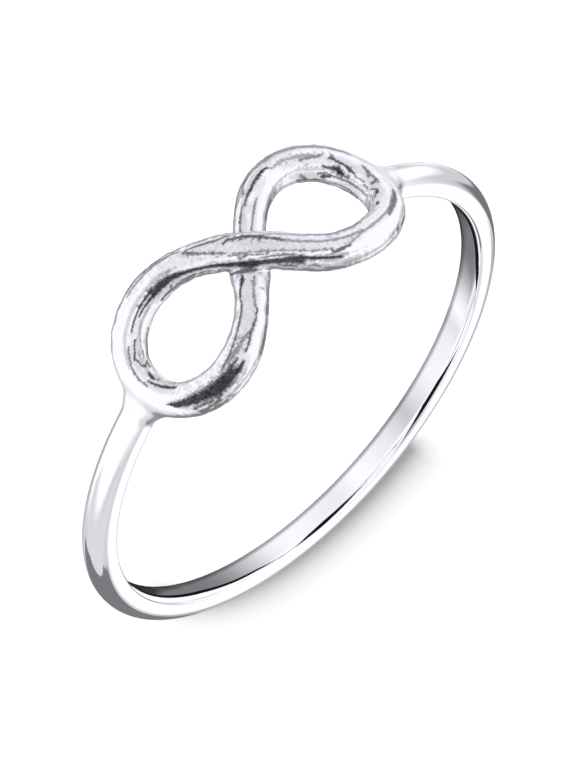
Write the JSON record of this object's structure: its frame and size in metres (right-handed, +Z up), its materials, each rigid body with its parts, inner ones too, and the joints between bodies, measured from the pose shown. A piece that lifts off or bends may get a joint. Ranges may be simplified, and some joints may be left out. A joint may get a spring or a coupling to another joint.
{
  "type": "infinity ring",
  "caption": "Slim finger ring whose band opens into a figure of eight of one wire that crosses over itself.",
  "frame": {"origin": "centre of the finger hole, halfway across the band", "axes": "the ring lies on its side: +X along the infinity, +Y from the finger hole towards the infinity, +Z up; the finger's axis leans 7.4 degrees from Z, because the lobes reach lower than the band"},
  "size_m": [0.019, 0.0198, 0.0055],
  "materials": {
    "silver": "polished silver band, hand-worked satin wire"
  },
  "bodies": {
    "root": {"ring": "silver"}
  },
  "joints": []
}
